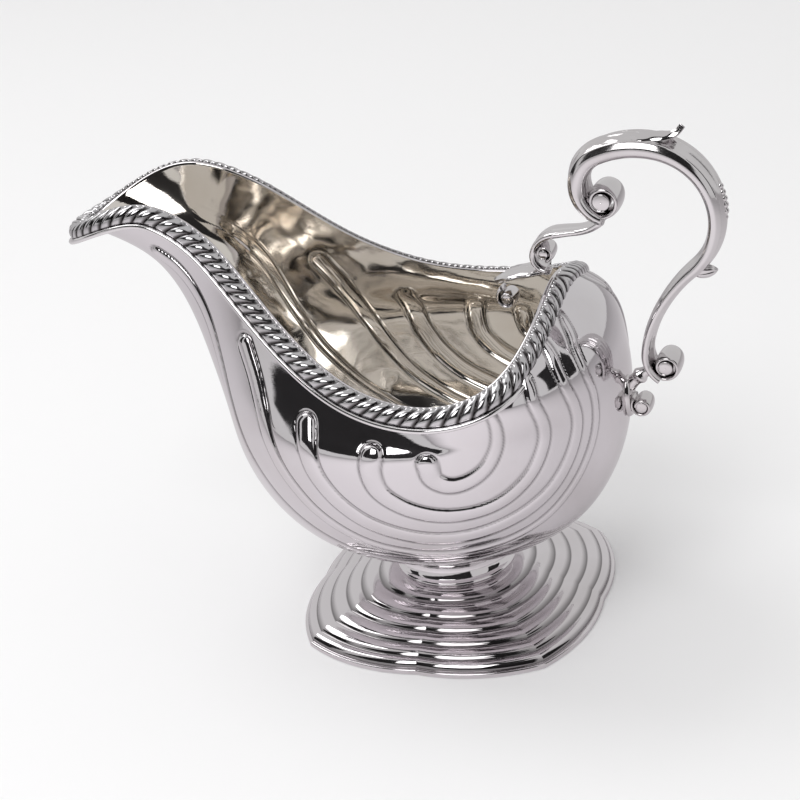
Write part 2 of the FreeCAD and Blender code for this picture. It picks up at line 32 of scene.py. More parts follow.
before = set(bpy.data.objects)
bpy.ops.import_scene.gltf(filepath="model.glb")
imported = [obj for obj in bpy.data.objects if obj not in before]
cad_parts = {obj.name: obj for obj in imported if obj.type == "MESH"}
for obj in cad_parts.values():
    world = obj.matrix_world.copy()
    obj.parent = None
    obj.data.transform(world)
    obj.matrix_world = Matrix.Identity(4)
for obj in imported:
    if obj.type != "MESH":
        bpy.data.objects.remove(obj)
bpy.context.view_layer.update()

# ---------------------------------------------------------------- sizes as in the CAD part, mm

BOWL_BASE = 22.0
BOWL_FRONT = 61.3
BOWL_BACK = 56.3
BOWL_HALF_WIDE = 50.0
BELLY_LEVEL = 71.0
BOWL_WALL = 1.1
COLLET_HEAD = 17.2
COLLET_WAIST = 15.6
COLLET_FOOT = 17.6
DOME_TOP = 12.6
FOOT_WALL = 1.6
EDGE_THICK = 1.6
FOOT_CORNER = 50.0
FOOT_DENT = 44.0
FOOT_LOBE_RADIUS = 50.0
BORDER_WIDE = 5.2
BORDER_BULGE = 1.9
BORDER_LEAN = math.radians(45)
WIRE_RADIUS = 0.75

# The bowl's curves: the angles of its upright lines, the rim on each of them, how the wall between the
# widest level and the rim swells out, and the rings below (share of the widest ring, share of its rise).
MERIDIANS = (0, 14, 26, 38, 52, 66, 84, 108, 136, 160, 180)
RIM = ((-101.0, 0.0, 118.5), (-95.5, 12.0, 122.3), (-84.5, 17.4, 128.0), (-70.0, 17.6, 130.2),
       (-52.0, 21.0, 121.3), (-32.0, 30.4, 101.8), (-10.0, 40.6, 88.3), (13.6, 45.7, 85.2),
       (30.5, 40.0, 89.6), (37.0, 23.0, 97.5), (38.0, 0.0, 104.0))
SWELL = ((11.5, 0.0, 4.8), (9.0, -2.0, 4.0), (5.0, -4.0, 2.0), (2.0, -3.5, 0.0), (0.5, -2.0, 0.0),
         (0.0, -1.5, 0.0), (0.0, -1.0, 0.0), (0.5, -0.5, 0.0), (2.5, 2.0, 0.8), (5.0, 2.0, 1.2),
         (6.0, 0.0, 1.2))
LOWER_RINGS = ((0.30, 0.0), (0.53, 0.07), (0.755, 0.225), (0.90, 0.47), (0.975, 0.735), (1.0, 1.0))
UPPER_STEPS = (0.25, 0.5, 0.75, 1.0)

# The handle's middle lines, in the plane between the boat's two sides (reach along X, height).
MAIN_PATH = ((53.2, 121.6), (46.9, 130.0), (52.5, 139.0), (67.5, 140.4), (82.2, 125.5), (76.0, 107.0),
             (66.2, 95.0), (62.2, 83.0), (65.6, 75.2))
FLYING_PATH = ((52.4, 120.4), (45.0, 117.2), (39.5, 116.6), (33.2, 111.6), (36.3, 106.2))
STRUT_PATH = ((63.2, 76.6), (60.0, 75.2), (56.4, 72.0))
BEADS_CENTRE = (66.5, 124.0)
BEADS_FIRST = 18.0
BEADS_SWEEP = 44.0
BEADS_COUNT = 9
BUD_AT = (79.0, 0.0, 106.0)
BUD_LEAN = math.radians(82)
PLATE_LEVEL = 68.4
PLATE_HALF_WIDE = 4.0
PLATE_HALF_HIGH = 6.0


# ---------------------------------------------------------------- details of the visual model alone, mm

# The chased flutes of one side: the line down the middle of each (reach along X, height), from its
# rounded head, under the bowl's side and up again to the border behind (the last one ends under the
# bowl), with its half-widths at the head, halfway along and at the end, and how far it stands out.
FLUTES = (
    (((13.2, 70.8), (14.2, 66.2), (18.0, 63.7), (22.8, 64.4), (27.6, 68.0), (30.6, 74.0), (31.0, 80.5),
      (29.0, 87.0)), (2.7, 1.9, 1.1), 1.15),
    (((-1.8, 73.4), (-2.4, 68.2), (-0.8, 62.2), (5.0, 57.2), (13.0, 54.2), (21.5, 53.7), (29.6, 56.0),
      (36.6, 62.0), (40.6, 70.0), (41.4, 78.0), (39.0, 88.0)), (3.0, 2.1, 1.5), 1.25),
    (((-22.0, 78.6), (-21.0, 72.0), (-19.0, 64.6), (-13.6, 56.6), (-5.0, 50.0), (8.0, 45.6), (21.0, 45.4),
      (33.0, 49.6), (41.6, 56.6), (46.6, 66.0), (48.2, 75.6), (46.4, 85.0), (42.6, 93.0)),
     (2.9, 2.3, 1.5), 1.2),
    (((-42.6, 95.0), (-39.4, 87.4), (-37.0, 80.0), (-34.4, 71.0), (-29.6, 60.6), (-21.0, 50.0),
      (-8.0, 42.0), (8.0, 38.6), (24.0, 39.4), (37.0, 45.0), (45.8, 54.6), (50.6, 66.0), (51.6, 77.0),
      (49.4, 87.0), (44.8, 96.0)), (2.5, 1.3, 1.3), 1.0),
    (((-71.8, 115.4), (-66.0, 111.8), (-60.5, 105.8), (-56.4, 98.0), (-53.6, 88.0), (-50.5, 76.0),
      (-45.5, 63.0), (-36.0, 50.0), (-22.0, 39.6), (-4.0, 33.6), (14.0, 32.4), (32.0, 36.6)),
     (1.9, 0.9, 0.7), 0.8),
)
FLUTE_LOW = 0.42        # how much of its height a flute keeps away from its head
FLUTE_HEAD = 0.11       # the head's share of the flute's length
CREASE_AT = 1.12        # where the crease runs, in half-widths from the middle line
CREASE_WIDE = 0.34
CREASE_DEEP = 0.20
FOOT_FADE = 9.0         # the flutes die away over this height above the bowl's base
SPOUT_PLAIN = 66.0      # inside the spout they are all but gone by this reach
SPOUT_FADE = 24.0
SPOUT_LEFT = 0.1        # the share of their height that is left there
# How strongly painted shade darkens the flutes' creases, outside and inside.
CREASE_PAINTED_SHADE_OUTSIDE = 0.6
CREASE_PAINTED_SHADE_INSIDE = 0.4

# The border: slanted lobes, a row of beads on its inner edge, and a fuller section at the spout's tip.
GADROON_PITCH = 3.7
GADROON_SLANT = 1.15
LOBE_LOW = 0.50
LOBE_RISE = 0.52
BEAD_RISE = 0.45
BEAD_REACH = 0.35
TIP_FULLER = 0.6
TIP_LENGTH = 10.0

# The dome's ribs, from the edge strip in to the collet: share of the way out, height.
FOOT_RIBS = ((1.0, 2.0), (0.90, 3.7), (0.745, 5.3), (0.575, 6.9), (0.41, 8.5), (0.21, 10.4), (0.0, 12.6))

# The leaves' middle lines, in the same plane as the handle's.
LEAF_CAP_PATH = ((44.7, 129.6), (46.2, 135.8), (50.4, 140.6), (56.5, 142.7), (63.5, 143.4), (69.5, 143.4),
                 (72.6, 144.2), (74.4, 146.0))
RIM_LEAF_PATH = ((21.4, 101.6), (25.5, 104.2), (31.0, 105.6), (37.6, 105.9))

# The arc of the beads' middles, a little wider than in the CAD part, whose strap is thinner there.
BEADS_RADIUS = 17.9

# How finely the meshes are divided: steps round or along, and steps up each face of the bowl.
BOWL_AROUND = 521
BOWL_UP_OUTSIDE = 300
BOWL_UP_INSIDE = 260
BORDER_STEPS = 1500
WIRE_STEPS = 420
FOOT_STEPS = 720
COLLET_STEPS = 160


# ---------------------------------------------------------------- camera: places in metres

CAMERA_AT = (0.1657, -0.4322, 0.2951)
CAMERA_AIM = (-0.0122, 0.0018, 0.0629)
CAMERA_LENS = 81.5
CAMERA_LEAN = math.radians(-7.8)


# ---------------------------------------------------------------- curves

def between(rows, where):
    """A point on the smooth curve through a list of points, at a fractional index."""
    index = min(int(where), len(rows) - 2)
    part = where - index
    second = rows[index]
    third = rows[index + 1]
    first = rows[index - 1] if index > 0 else second * 2 - third
    fourth = rows[index + 2] if index + 2 < len(rows) else third * 2 - second
    return (second * 2 + (third - first) * part + (first * 2 - second * 5 + third * 4 - fourth) * part ** 2
            + (second * 3 - first - third * 3 + fourth) * part ** 3) * 0.5


def smooth_line(points, count):
    """The smooth curve through the points, sampled at even steps along its length."""
    rows = [np.array(point, float) for point in points]
    fine = np.array([between(rows, t) for t in np.linspace(0, len(rows) - 1, 30 * len(rows))])
    return even_steps(fine, count)


def even_steps(line, count):
    """The same line with its points spread evenly along its length."""
    lengths = np.concatenate([[0], np.cumsum(np.linalg.norm(np.diff(line, axis=0), axis=1))])
    at = np.linspace(0, lengths[-1], count)
    return np.stack([np.interp(at, lengths, line[:, i]) for i in range(line.shape[1])], axis=1)


def tangents(line):
    """Unit directions along a line."""
    run = np.gradient(line, axis=0)
    return run / np.linalg.norm(run, axis=1)[:, None]


def arc_path(points, heading):
    """Points along arcs in the middle plane, each arc starting the way the last one ended."""
    per_arc = 40
    way = np.array(heading, float)
    way /= np.linalg.norm(way)
    line = [np.array(points[0], float)]
    for start, end in zip(points[:-1], points[1:]):
        start = np.array(start, float)
        step = np.array(end, float) - start
        chord = step / np.linalg.norm(step)
        half_turn = math.atan2(way[0] * chord[1] - way[1] * chord[0], way @ chord)
        for index in range(1, per_arc + 1):
            turned = half_turn * 2 * index / per_arc
            if abs(half_turn) < 1e-6:
                line.append(start + step * index / per_arc)
                continue
            radius = np.linalg.norm(step) / 2 / math.sin(half_turn)
            side = np.array((-way[1], way[0]))
            line.append(start + way * radius * math.sin(turned) + side * radius * (1 - math.cos(turned)))
        way = chord * (2 * way @ chord) - way
    return np.array(line)


def mix(values, count):
    """Values spread evenly over a length and joined smoothly."""
    rows = [np.array([value], float) for value in values]
    return np.array([between(rows, t)[0] for t in np.linspace(0, len(values) - 1, count)])


# ---------------------------------------------------------------- meshes

def make_mesh(name, points, quads, triangles, material):
    """A smooth mesh in metres on the boat's one body, standing for the CAD node of that name."""
    quads = np.asarray(quads, np.int32).reshape(-1, 4)
    triangles = np.asarray(triangles, np.int32).reshape(-1, 3)
    corners = np.concatenate([quads.ravel(), triangles.ravel()])
    starts = np.concatenate([np.arange(len(quads)) * 4, len(quads) * 4 + np.arange(len(triangles)) * 3])
    mesh = bpy.data.meshes.new(name + "_form")
    mesh.vertices.add(len(points))
    mesh.vertices.foreach_set("co", (np.asarray(points, float) * MM).ravel())
    mesh.loops.add(len(corners))
    mesh.loops.foreach_set("vertex_index", corners.astype(np.int32))
    mesh.polygons.add(len(starts))
    mesh.polygons.foreach_set("loop_start", starts.astype(np.int32))
    mesh.update(calc_edges=True)
    mesh.shade_smooth()
    mesh.materials.append(material)
    piece = bpy.data.objects.new(name + "_form", mesh)
    bpy.context.scene.collection.objects.link(piece)
    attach(piece, BODY)
    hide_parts(name)
    return piece


def grid_quads(rows, columns, close_rows, close_columns):
    """Four-sided faces between the neighbours of a grid of points."""
    i, j = np.meshgrid(np.arange(rows if close_rows else rows - 1),
                       np.arange(columns if close_columns else columns - 1), indexing="ij")
    next_i = (i + 1) % rows
    next_j = (j + 1) % columns
    corners = (i * columns + j, i * columns + next_j, next_i * columns + next_j, next_i * columns + j)
    return np.stack(corners, axis=-1).reshape(-1, 4)


def cap(ring, middle, turn):
    """Triangles from a closed ring of point numbers to one point in the middle."""
    after = np.roll(ring, -1)
    middles = np.full(len(ring), middle)
    return np.stack([after, ring, middles] if turn else [ring, after, middles], axis=1)


def tube_mesh(grid):
    """Points and faces of a tube of closed rings with both ends capped."""
    rows, columns = grid.shape[:2]
    points = np.vstack([grid.reshape(-1, 3), grid[0].mean(axis=0), grid[-1].mean(axis=0)])
    quads = grid_quads(rows, columns, False, True)
    ring = np.arange(columns)
    last = (rows - 1) * columns
    triangles = np.vstack([cap(ring, rows * columns, True), cap(ring + last, rows * columns + 1, False)])
    return points, quads, triangles


def combine(parts):
    """One set of points and faces from several."""
    points = []
    quads = []
    triangles = []
    count = 0
    for some_points, some_quads, some_triangles in parts:
        points.append(some_points)
        quads.append(np.asarray(some_quads).reshape(-1, 4) + count)
        triangles.append(np.asarray(some_triangles).reshape(-1, 3) + count)
        count += len(some_points)
    return np.vstack(points), np.vstack(quads), np.vstack(triangles)


def outward_faces(parts):
    """Turn the faces over if the closed shape is inside out."""
    points, quads, triangles = parts
    faces = np.vstack([quads[:, [0, 1, 2]], quads[:, [0, 2, 3]], triangles])
    a, b, c = (points[faces[:, i]] for i in range(3))
    if np.einsum("ij,ij->i", a, np.cross(b, c)).sum() < 0:
        return points, quads[:, ::-1], triangles[:, ::-1]
    return parts


def build(name, parts, material):
    """A piece from closed shapes."""
    points, quads, triangles = combine([outward_faces(part) for part in parts])
    return make_mesh(name, points, quads, triangles, material)


def paint_shade(piece, painted_shade):
    """Give a piece its painted shade, point by point, for its material to mix in as a darker colour."""
    values = np.zeros(len(piece.data.vertices), np.float32)
    values[:painted_shade.size] = painted_shade.ravel()
    layer = piece.data.attributes.new("painted_shade", "FLOAT", "POINT")
    layer.data.foreach_set("value", values)


# ---------------------------------------------------------------- materials

def node(tree, kind, **values):
    """A new node in a material, with its settings."""
    made = tree.nodes.new(kind)
    for key, value in values.items():
        setattr(made, key, value)
    return made


def silver(name, colour, tarnish, roughness, waviness, scratch):
    """Polished silver: hand-raised waviness, fine scratches, cloudier, browner patches and painted shade in
    the hollows.
    """
    material = bpy.data.materials.new(name)
    material.use_nodes = True
    tree = material.node_tree
    link = tree.links.new
    shader = tree.nodes["Principled BSDF"]
    shader.inputs["Metallic"].default_value = 1.0
    place = node(tree, "ShaderNodeTexCoord").outputs["Object"]

    cloud = node(tree, "ShaderNodeTexNoise")
    cloud.inputs["Scale"].default_value = 38.0
    cloud.inputs["Detail"].default_value = 6.0
    link(place, cloud.inputs["Vector"])
    shade = node(tree, "ShaderNodeMapRange")
    shade.inputs["From Min"].default_value = 0.45
    shade.inputs["From Max"].default_value = 0.75
    link(cloud.outputs["Fac"], shade.inputs["Value"])
    tint = node(tree, "ShaderNodeMix", data_type="RGBA")
    tint.inputs["A"].default_value = (*colour, 1.0)
    tint.inputs["B"].default_value = (*tarnish, 1.0)
    link(shade.outputs["Result"], tint.inputs["Factor"])
    # Painted shade: a point attribute mixes the colour towards near black in the flutes' creases, the
    # dome's grooves and the border's hollows and underside.
    painted_shade = node(tree, "ShaderNodeAttribute", attribute_name="painted_shade")
    painted_shade_mix = node(tree, "ShaderNodeMix", data_type="RGBA")
    painted_shade_mix.inputs["B"].default_value = (0.035, 0.03, 0.03, 1.0)
    link(tint.outputs["Result"], painted_shade_mix.inputs["A"])
    link(painted_shade.outputs["Fac"], painted_shade_mix.inputs["Factor"])
    link(painted_shade_mix.outputs["Result"], shader.inputs["Base Color"])

    smear = node(tree, "ShaderNodeTexNoise")
    smear.inputs["Scale"].default_value = 95.0
    smear.inputs["Detail"].default_value = 4.0
    link(place, smear.inputs["Vector"])
    gloss = node(tree, "ShaderNodeMapRange")
    gloss.inputs["From Min"].default_value = 0.3
    gloss.inputs["From Max"].default_value = 0.7
    gloss.inputs["To Min"].default_value = roughness * 0.6
    gloss.inputs["To Max"].default_value = roughness * 1.5
    link(smear.outputs["Fac"], gloss.inputs["Value"])
    link(gloss.outputs["Result"], shader.inputs["Roughness"])

    stretch = node(tree, "ShaderNodeMapping")
    stretch.inputs["Scale"].default_value = (1.0, 1.0, 22.0)
    link(place, stretch.inputs["Vector"])
    hair = node(tree, "ShaderNodeTexNoise")
    hair.inputs["Scale"].default_value = 260.0
    hair.inputs["Detail"].default_value = 3.0
    link(stretch.outputs["Vector"], hair.inputs["Vector"])
    planish = node(tree, "ShaderNodeTexNoise")
    planish.inputs["Scale"].default_value = 85.0
    planish.inputs["Detail"].default_value = 1.0
    link(place, planish.inputs["Vector"])
    low = node(tree, "ShaderNodeBump")
    low.inputs["Strength"].default_value = waviness
    low.inputs["Distance"].default_value = 0.0005
    link(planish.outputs["Fac"], low.inputs["Height"])
    fine = node(tree, "ShaderNodeBump")
    fine.inputs["Strength"].default_value = scratch
    fine.inputs["Distance"].default_value = 0.00002
    link(hair.outputs["Fac"], fine.inputs["Height"])
    link(low.outputs["Normal"], fine.inputs["Normal"])
    link(fine.outputs["Normal"], shader.inputs["Normal"])
    return material


def plain(name, colour, roughness):
    """A matt material for the floor and the cards."""
    material = bpy.data.materials.new(name)
    material.use_nodes = True
    shader = material.node_tree.nodes["Principled BSDF"]
    shader.inputs["Base Color"].default_value = (*colour, 1.0)
    shader.inputs["Roughness"].default_value = roughness
    return material


# Colour, tarnished colour, roughness, waviness and depth of scratches.
SHEET_SILVER = silver("silver_sheet", (0.72, 0.695, 0.715), (0.66, 0.63, 0.64), 0.05, 0.05, 0.20)
INSIDE_SILVER = silver("silver_inside", (0.80, 0.765, 0.72), (0.72, 0.67, 0.61), 0.05, 0.85, 0.25)
CAST_SILVER = silver("silver_cast", (0.70, 0.68, 0.69), (0.60, 0.575, 0.58), 0.10, 0.20, 0.35)
BORDER_SILVER = silver("silver_border", (0.60, 0.59, 0.605), (0.50, 0.485, 0.49), 0.12, 0.10, 0.30)
WIRE_SILVER = silver("silver_wire", (0.80, 0.78, 0.79), (0.70, 0.68, 0.68), 0.08, 0.05, 0.20)
FOOT_SILVER = silver("silver_foot", (0.73, 0.70, 0.72), (0.65, 0.62, 0.63), 0.05, 0.12, 0.25)


# ---------------------------------------------------------------- bowl

def lower_ring(share, rise, inward):
    """Half of one level ring, from the keel round the +Y side to the back."""
    level = BOWL_BASE + (BELLY_LEVEL - BOWL_BASE) * rise
    front = BOWL_FRONT * share - inward
    back = BOWL_BACK * share - inward
    wide = BOWL_HALF_WIDE * share - inward
    if rise == 0:
        front = back = wide = COLLET_HEAD - inward
        level += inward
    elif rise < 0.3:
        level += inward * 0.8
    angles = np.radians(MERIDIANS)
    reach = np.where(np.array(MERIDIANS) < 90, -front, back)
    levels = np.full(len(angles), level)
    return np.stack([reach * np.abs(np.cos(angles)), wide * np.sin(angles), levels], axis=1)


def rim_points(inward):
    """The rim's edge on each meridian, moved in square to the edge as seen from above."""
    rim = np.array(RIM)
    ends = np.vstack([rim[1] * (1, -1, 1), rim, rim[-2] * (1, -1, 1)])
    run = (ends[2:] - ends[:-2])[:, :2]
    run /= np.linalg.norm(run, axis=1)[:, None]
    outward = np.stack([-run[:, 1], run[:, 0], np.zeros(len(rim))], axis=1)
    return rim - outward * inward


def full_ring(half):
    """Half a ring refined to twice as many points and closed with its mirror image."""
    mirror = np.array((1, -1, 1))
    extended = [half[1] * mirror, *half, half[-2] * mirror]
    fine = [between(extended, 1 + index / 2) for index in range(2 * len(half) - 1)]
    return np.array(fine + [point * mirror for point in reversed(fine[1:-1])])


def closed_basis(count, where):
    """Weights of the poles of a smooth closed curve at the given places along it."""
    weights = np.zeros((len(where), count))
    rows = np.arange(len(where))
    index = np.floor(where).astype(int)
    part = where - index
    cubic = ((1 - part) ** 3, 3 * part ** 3 - 6 * part ** 2 + 4,
             -3 * part ** 3 + 3 * part ** 2 + 3 * part + 1, part ** 3)
    for step, weight in enumerate(cubic):
        np.add.at(weights, (rows, (index + step - 1) % count), weight / 6)
    return weights


def open_basis(count, where):
    """Weights of the poles of a smooth curve that starts and ends on its first and last pole."""
    top = count - 3
    knots = np.array([0, 0, 0, *range(top + 1), top, top, top], float)
    tiny = 1e-9
    where = np.clip(where, 0, top - tiny)[:, None]
    weights = ((knots[:-1] <= where) & (where < knots[1:])).astype(float)
    for degree in (1, 2, 3):
        left_gap = knots[degree:-1] - knots[:-degree - 1]
        right_gap = knots[degree + 1:] - knots[1:-degree]
        left = np.where(left_gap > 0, (where - knots[:-degree - 1]) / np.maximum(left_gap, tiny), 0)
        right = np.where(right_gap > 0, (knots[degree + 1:] - where) / np.maximum(right_gap, tiny), 0)
        weights = left * weights[:, :-1] + right * weights[:, 1:]
    return weights


def bowl_half(inward, around, upward):
    """One face of the bowl's +Y half as a grid of points, from the spout's keel to the back."""
    belly = lower_ring(1.0, 1.0, inward)
    rim = rim_points(inward)
    rings = [full_ring(lower_ring(share, rise, inward)) for share, rise in LOWER_RINGS]
    for step in UPPER_STEPS:
        weight = 4 * step * (1 - step) * (0.5 + step)
        rings.append(full_ring(belly * (1 - step) + rim * step + np.array(SWELL) * weight))
    levels = 2 * len(rings) - 1
    poles = np.array([between(rings, level / 2) for level in range(levels)])
    count = poles.shape[1]
    steps_around = closed_basis(count, np.linspace(0, count / 2, around))
    places = np.linspace(0, levels - 3, 400)
    side = open_basis(levels, places) @ poles[:, count // 4]
    lengths = np.concatenate([[0], np.cumsum(np.linalg.norm(np.diff(side, axis=0), axis=1))])
    even = np.interp(np.linspace(0, lengths[-1], upward), lengths, places)
    steps_up = open_basis(levels, even)
    return np.einsum("ai,bj,jik->abk", steps_around, steps_up, poles)


def normals_of(grid):
    """Unit directions out of the bowl at every point of a half grid."""
    normal = np.cross(np.gradient(grid, axis=1), np.gradient(grid, axis=0))
    normal[0, :, 1] = 0
    normal[-1, :, 1] = 0
    normal /= np.linalg.norm(normal, axis=2)[:, :, None] + 1e-12
    if normal[len(grid) // 2, :, 1].mean() < 0:
        normal = -normal
    return normal


def flute_relief(grid):
    """How far the flutes push the wall outwards at every point of a half grid, and how creased it is."""
    points = grid.reshape(-1, 3)
    relief = np.zeros(len(points))
    creased = np.zeros(len(points))
    block = 20000
    for path, half_widths, height in FLUTES:
        line = smooth_line(path, 220)
        nearest = np.array([np.argmin((points[:, 0] - x) ** 2 + (points[:, 2] - z) ** 2) for x, z in line])
        depth = np.convolve(np.pad(points[nearest, 1], 4, mode="edge"), np.full(9, 1 / 9), mode="valid")
        line = np.stack([line[:, 0], depth, line[:, 1]], axis=1)
        along = tangents(line)
        wide = mix(half_widths, len(line))
        share = np.linspace(0, 1, len(line))
        high = height * (FLUTE_LOW + (1 - FLUTE_LOW) * np.exp(-(share / FLUTE_HEAD) ** 2))
        for start in range(0, len(points), block):
            here = slice(start, start + block)
            some = points[here]
            gap = (some ** 2).sum(axis=1)[:, None] - 2 * some @ line.T + (line ** 2).sum(axis=1)
            index = gap.argmin(axis=1)
            away = some - line[index]
            forward = (away * along[index]).sum(axis=1)
            inside = (index > 0) | (forward > 0)
            away = away - np.where(inside, forward, 0)[:, None] * along[index]
            across = np.linalg.norm(away, axis=1) / wide[index]
            tongue = np.sqrt(np.clip(1 - across ** 2.4, 0, None))
            crease = np.exp(-((across - CREASE_AT) * wide[index] / CREASE_WIDE) ** 2)
            relief[here] += high[index] * tongue - CREASE_DEEP * crease
            creased[here] = np.maximum(creased[here], crease)
    return relief.reshape(grid.shape[:2]), creased.reshape(grid.shape[:2])


def mirrored_grid(half):
    """The whole closed grid from its +Y half."""
    other = half[-2:0:-1] * np.array((1, -1, 1))
    return np.concatenate([half, other])


def bowl_face(inward, around, upward):
    """One face of the whole bowl with its flutes; they die away inside the spout and at the foot."""
    half = bowl_half(inward, around, upward)
    fade = np.clip((half[:, :, 2] - BOWL_BASE) / FOOT_FADE, 0, 1)
    if inward:
        fade *= np.clip((half[:, :, 0] + SPOUT_PLAIN) / SPOUT_FADE, SPOUT_LEFT, 1)
    relief, creased = flute_relief(half)
    half = half + normals_of(half) * (relief * fade)[:, :, None]
    half[0, :, 1] = 0
    half[-1, :, 1] = 0
    creased = creased * fade
    return mirrored_grid(half), np.concatenate([creased, creased[-2:0:-1]])


def make_bowl():
    """The raised bowl: an outer and an inner face joined over the lip, with a smooth well in the middle."""
    outer, outer_creased = bowl_face(0.0, BOWL_AROUND, BOWL_UP_OUTSIDE)
    inner, inner_creased = bowl_face(BOWL_WALL, BOWL_AROUND, BOWL_UP_INSIDE)
    rows = len(outer)
    out_columns = outer.shape[1]
    in_columns = inner.shape[1]
    lip = (outer[:, -1] + inner[:, -1]) / 2 + np.array((0, 0, 0.35))
    shares = (0.9, 0.8, 0.65, 0.5, 0.35, 0.2, 0.1, 0.03)
    sinks = [0.1 * (1 + math.cos(math.pi * share)) for share in shares]
    well = [inner[:, 0] * (share, share, 1) - np.array((0, 0, sink)) for share, sink in zip(shares, sinks)]
    wall = np.concatenate([outer, lip[:, None], inner[:, ::-1], np.stack(well, axis=1)], axis=1)
    columns = wall.shape[1]
    quads = grid_quads(rows, columns, True, False)
    points = np.vstack([wall.reshape(-1, 3), wall[:, -1].mean(axis=0), wall[:, 0].mean(axis=0)])
    first = np.arange(rows) * columns
    well_cap = cap(first + columns - 1, rows * columns, False)
    base_cap = cap(first, rows * columns + 1, True)
    triangles = np.vstack([well_cap, base_cap])
    points, quads, triangles = outward_faces((points, quads, triangles))
    piece = make_mesh("bowl", points, quads, triangles, SHEET_SILVER)
    # Painted shade along the flutes' creases, stronger outside than inside.
    painted_shade = np.zeros(wall.shape[:2])
    painted_shade[:, :out_columns] = outer_creased * CREASE_PAINTED_SHADE_OUTSIDE
    painted_shade[:, out_columns + 1:out_columns + 1 + in_columns] = inner_creased[:, ::-1] * CREASE_PAINTED_SHADE_INSIDE
    paint_shade(piece, painted_shade)
    piece.data.materials.append(INSIDE_SILVER)
    strip = np.tile(np.arange(columns - 1) > out_columns, rows)
    index = np.concatenate([strip, np.ones(rows), np.zeros(rows)]).astype(np.int32)
    piece.data.polygons.foreach_set("material_index", index)


# ---------------------------------------------------------------- border and wire

def rim_frames(count):
    """Places along the +Y half of the rim, from the spout to the back, with directions out and up."""
    poles = full_ring(rim_points(0.0))
    fine = closed_basis(len(poles), np.linspace(0, len(poles) / 2, 3001)) @ poles
    run = tangents(fine)
    run[0] = (0, 1, 0)
    run[-1] = (0, -1, 0)
    outward = np.stack([-run[:, 1], run[:, 0], np.zeros(len(run))], axis=1)
    outward /= np.linalg.norm(outward, axis=1)[:, None]
    upward = np.cross(run, outward)
    upward *= np.sign(upward[:, 2:])
    down = outward * math.cos(BORDER_LEAN) - upward * math.sin(BORDER_LEAN)
    out = outward * math.sin(BORDER_LEAN) + upward * math.cos(BORDER_LEAN)
    rows = np.hstack([fine, down, out])
    middle = fine + down * BORDER_WIDE / 2
    lengths = np.concatenate([[0], np.cumsum(np.linalg.norm(np.diff(middle, axis=0), axis=1))])
    at = np.linspace(0, lengths[-1], count)
    rows = np.stack([np.interp(at, lengths, rows[:, i]) for i in range(9)], axis=1)
    return rows[:, :3], rows[:, 3:6], rows[:, 6:], at


def gadroon_grid(count):
    """The border's rings across its length, and the painted shade between its lobes and on its underside.
    """
    place, down, out, along = rim_frames(count)
    lobes = round(along[-1] / GADROON_PITCH)
    across = np.linspace(0, 1, 25)
    phase = along[:, None] / along[-1] * lobes + GADROON_SLANT * across[None]
    part = phase - np.floor(phase)
    lobe = np.sqrt(np.clip(1 - (2 * part - 1) ** 2, 0, 1))
    radius = (BORDER_WIDE ** 2 / 4 + BORDER_BULGE ** 2) / (2 * BORDER_BULGE)
    arch = np.sqrt(radius ** 2 - (across * BORDER_WIDE - BORDER_WIDE / 2) ** 2) - radius + BORDER_BULGE
    bead = np.abs(np.sin(2 * math.pi * phase))
    edge = np.exp(-(across[None] / 0.10) ** 2)
    fuller = 1 + TIP_FULLER * np.exp(-(along[:, None] / TIP_LENGTH) ** 2)
    high = arch[None] * (LOBE_LOW + LOBE_RISE * lobe) * fuller + BEAD_RISE * bead * edge
    slide = across[None] * BORDER_WIDE - BEAD_REACH * bead * edge
    top = (place[:, None] + out[:, None] * (0.2 + high)[:, :, None] + down[:, None] * slide[:, :, None])
    below = np.array((0.9, 0.5, 0.1))
    under = place[:, None] + down[:, None] * (below * BORDER_WIDE)[None, :, None] - out[:, None] * 0.15
    grid = np.concatenate([top, under], axis=1)
    grid[0, :, 1] = 0
    grid[-1, :, 1] = 0
    # Painted shade: dark between the lobes except at the beaded edge, and full on the underside.
    depth = np.clip((np.abs(2 * part - 1) - 0.45) / 0.40, 0, 1) * (1 - edge) * 0.95
    painted_shade = np.pad(depth, ((0, 0), (0, 3)), constant_values=1)
    return grid, painted_shade


def wire_grid(count):
    """Rings of the plain wire that lies along the border's lower edge."""
    place, down, out, _ = rim_frames(count)
    centre = place + down * (BORDER_WIDE + WIRE_RADIUS * 0.95)
    turn = np.linspace(0, 2 * math.pi, 14, endpoint=False)
    grid = (centre[:, None] + down[:, None] * (WIRE_RADIUS * np.cos(turn))[None, :, None]
            + out[:, None] * (WIRE_RADIUS * np.sin(turn))[None, :, None])
    grid[0, :, 1] = 0
    grid[-1, :, 1] = 0
    return grid


def make_rim():
    """The border and its wire, each in a left and a right length."""
    gadroon, painted_shade = gadroon_grid(BORDER_STEPS)
    wire = wire_grid(WIRE_STEPS)
    for side, sign in (("left", -1), ("right", 1)):
        mirror = np.array((1, sign, 1))
        lobed = tube_mesh(gadroon * mirror)
        piece = build("rim_gadroon_" + side, [lobed], BORDER_SILVER)
        # Painted shade between the lobes and under the border.
        paint_shade(piece, painted_shade)
        build("rim_wire_" + side, [tube_mesh(wire * mirror)], WIRE_SILVER)


# ---------------------------------------------------------------- foot

def foot_reach(share, angles):
    """The foot's outline at a share of the way out: four corners joined by two lobes a side."""
    corner = COLLET_FOOT + (FOOT_CORNER - 0.9 - COLLET_FOOT) * share
    dent = COLLET_FOOT + (FOOT_DENT - 0.9 - COLLET_FOOT) * share
    radius = max(COLLET_FOOT + (FOOT_LOBE_RADIUS - COLLET_FOOT) * share, dent)
    return lobed_outline(corner, dent, radius, angles)


